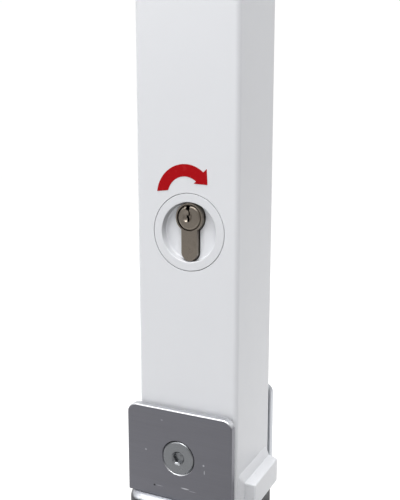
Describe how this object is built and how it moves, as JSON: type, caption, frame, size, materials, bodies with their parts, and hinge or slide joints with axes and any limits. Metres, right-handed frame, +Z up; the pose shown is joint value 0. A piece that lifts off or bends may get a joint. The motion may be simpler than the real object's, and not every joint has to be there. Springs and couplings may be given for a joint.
{
  "type": "keyed fold-down post",
  "caption": "Square post hinged on a cast foot, with a flush rose, keyed profile cylinder, turn arrow and a rack-driven bolt that locks the post upright.",
  "frame": {"origin": "on the ground under the gasket, straight below the hinge axis, at the bottom centre of the bounding box", "axes": "+Z up along the post, +X to the right seen from the keyed face, +Y from the keyed front to the back"},
  "size_m": [0.12, 0.12, 0.3643],
  "materials": {
    "white_coat": "smooth white powder coat, semi-gloss",
    "white_plastic": "white moulded plastic, satin",
    "red_film": "red self-adhesive film",
    "satin_nickel": "satin nickel plate over brass",
    "brass": "machined",
    "brushed_aluminium": "grey anodised, brushed across",
    "zinc_steel": "zinc plated",
    "dark_coat": "anthracite coat, worn bright on the shoulder",
    "black_plastic": "moulded nylon",
    "black_rubber": "matt",
    "spring_steel": "bright"
  },
  "bodies": {
    "foot": {"foot_casting": "dark_coat", "floor_gasket": "black_rubber", "bolt_socket": "zinc_steel", "upright_buffer": "black_rubber", "folded_buffer": "black_rubber", "clamp_screw_front_1": "zinc_steel", "clamp_screw_front_2": "zinc_steel", "clamp_screw_back_1": "zinc_steel", "clamp_screw_back_2": "zinc_steel", "front_cheek_plate": "brushed_aluminium", "back_cheek_plate": "brushed_aluminium", "hinge_screw_front": "zinc_steel", "hinge_screw_back": "zinc_steel", "hinge_sleeve": "zinc_steel"},
    "post": {"post_tube": "white_coat", "stop_block": "white_coat", "top_cap": "white_plastic", "lock_rose": "white_plastic", "turn_arrow": "red_film", "cylinder_body": "satin_nickel", "chamber_strip": "brass", "case_pillar_1": "brass", "case_pillar_2": "brass", "case_pillar_3": "brass", "case_pillar_4": "brass", "stop_screw_1": "zinc_steel", "stop_screw_2": "zinc_steel", "cylinder_fixing_screw": "zinc_steel", "case_front_plate": "zinc_steel", "case_back_plate": "zinc_steel", "case_screw_1": "zinc_steel", "case_screw_2": "zinc_steel", "hinge_bush_front": "black_plastic", "hinge_bush_back": "black_plastic", "end_plug": "black_plastic", "rack_guide": "black_plastic", "driver_pin_1": "spring_steel", "driver_pin_2": "spring_steel", "driver_pin_3": "spring_steel", "driver_pin_4": "spring_steel", "driver_pin_5": "spring_steel", "pin_spring_1": "spring_steel", "pin_spring_2": "spring_steel", "pin_spring_3": "spring_steel", "pin_spring_4": "spring_steel", "pin_spring_5": "spring_steel"},
    "plug": {"cylinder_plug": "satin_nickel", "drive_pinion": "brass", "tail_clip": "spring_steel", "key_pin_1": "brass", "key_pin_2": "brass", "key_pin_3": "brass", "key_pin_4": "brass", "key_pin_5": "brass"},
    "bolt": {"rack_bar": "zinc_steel", "bolt_rod": "zinc_steel", "rod_pin": "spring_steel"}
  },
  "joints": [
    {"name": "post_fold", "type": "hinge", "parent": "foot", "child": "post", "pos_m": [0, 0, 0.0766], "axis": [0, -1, 0], "range_deg": [0, 90]},
    {"name": "key_turn", "type": "hinge", "parent": "post", "child": "plug", "pos_m": [0.00315, 0, 0.2163], "axis": [0, 1, 0], "range_deg": [0, 360]},
    {"name": "bolt_slide", "type": "slide", "parent": "post", "child": "bolt", "axis": [0, 0, -1], "range_m": [0, 0.0314]}
  ],
  "couplings": [
    {"joint": "key_turn", "follows": "bolt_slide", "rad_per_m": 200}
  ]
}
